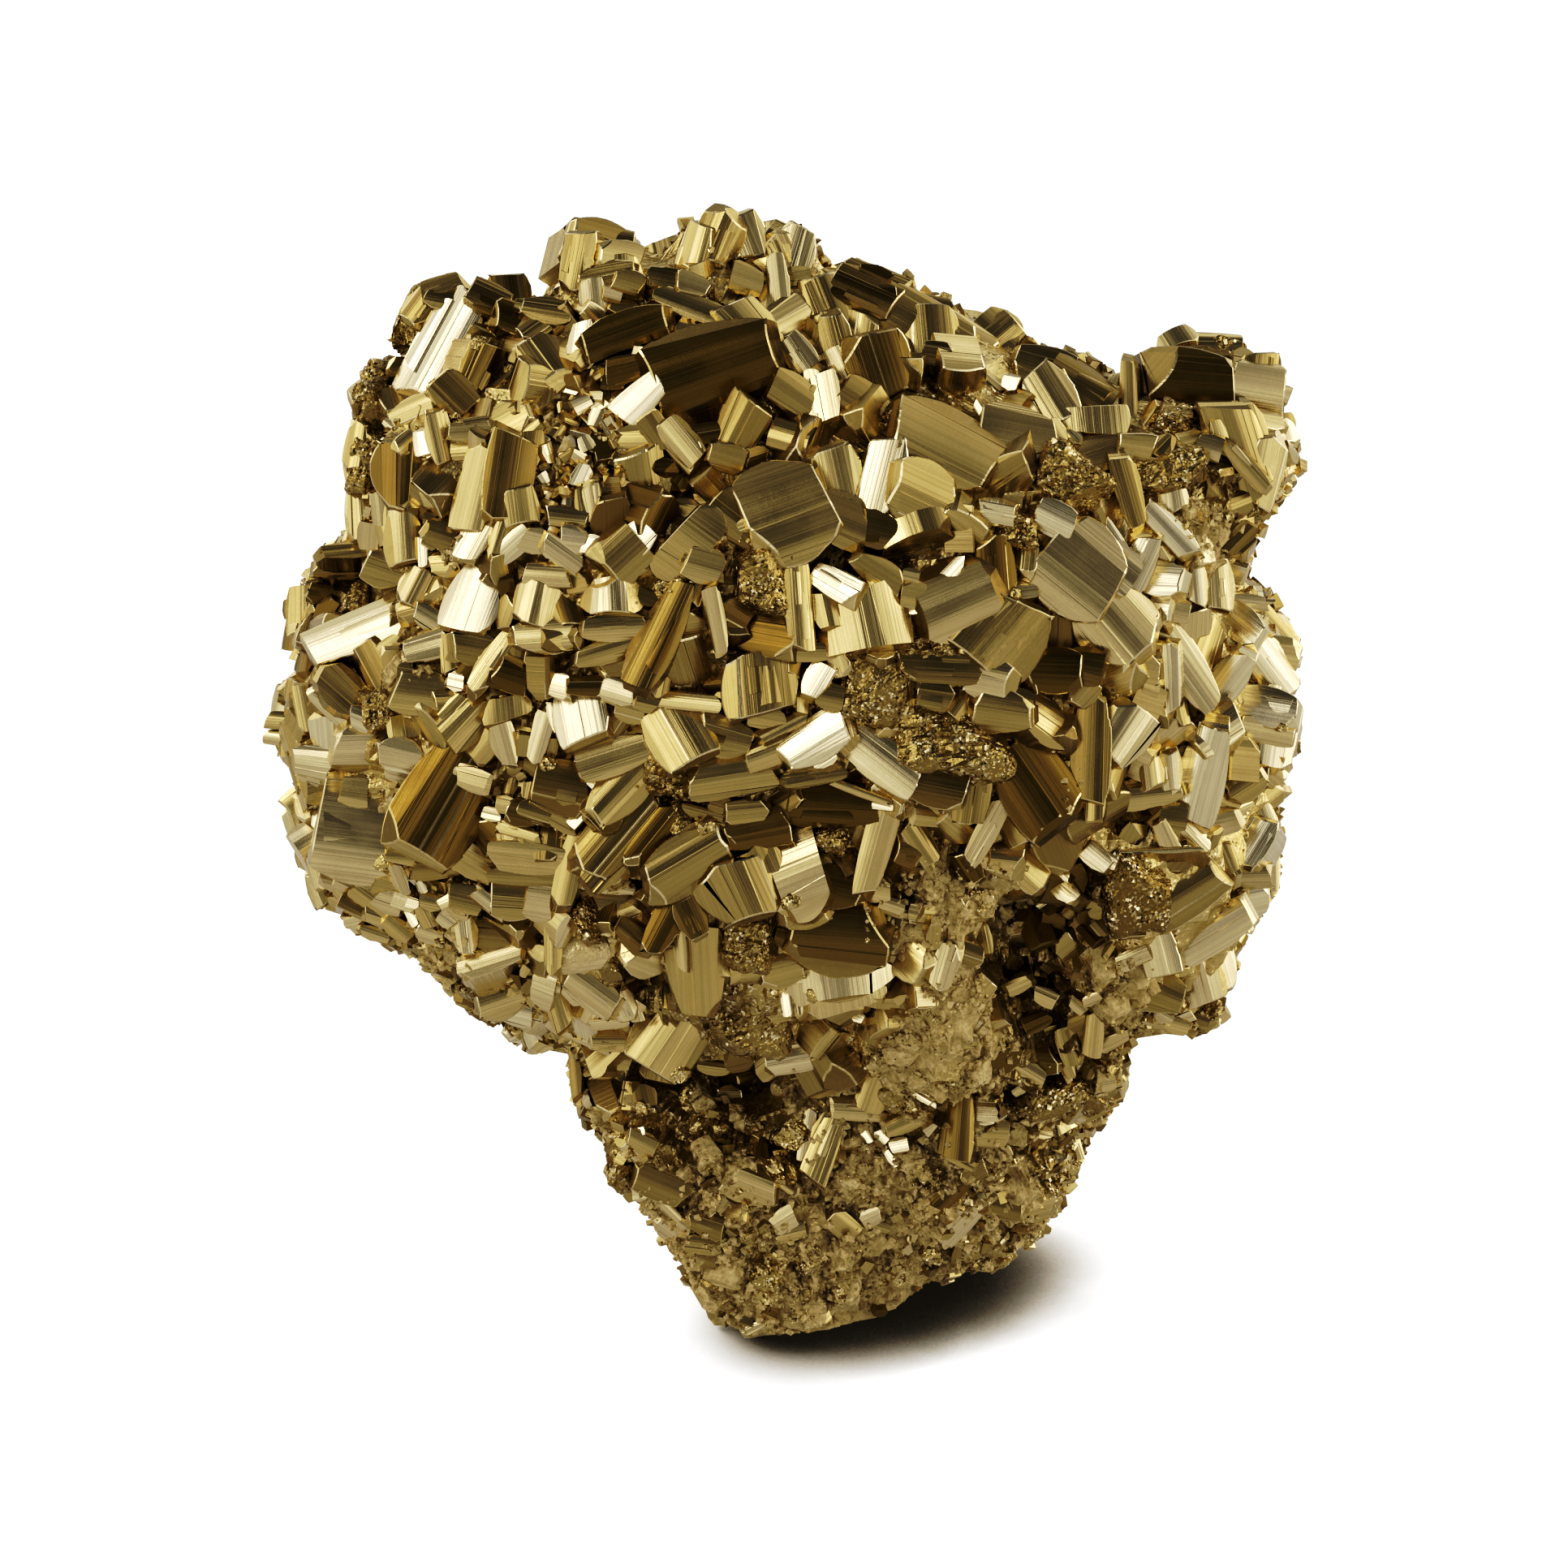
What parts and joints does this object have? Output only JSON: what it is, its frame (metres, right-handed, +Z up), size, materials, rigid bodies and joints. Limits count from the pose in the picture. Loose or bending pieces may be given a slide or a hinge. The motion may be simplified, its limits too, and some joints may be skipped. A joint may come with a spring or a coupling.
{
  "type": "massive pyrite specimen",
  "caption": "Large free-standing cluster of intergrown pyrite crystals, broad at the top and narrowing to a small flat foot; a display mineral specimen.",
  "frame": {"origin": "on the flat face it rests on, under the narrow lower column", "axes": "+Z up, along the specimen's longest extent; +X to the right as seen in the picture; -Y towards the side the picture shows"},
  "size_m": [0.2775, 0.2005, 0.3172],
  "materials": {
    "pyrite": "satin"
  },
  "bodies": {
    "root": {"pyrite_cluster": "pyrite"}
  },
  "joints": []
}
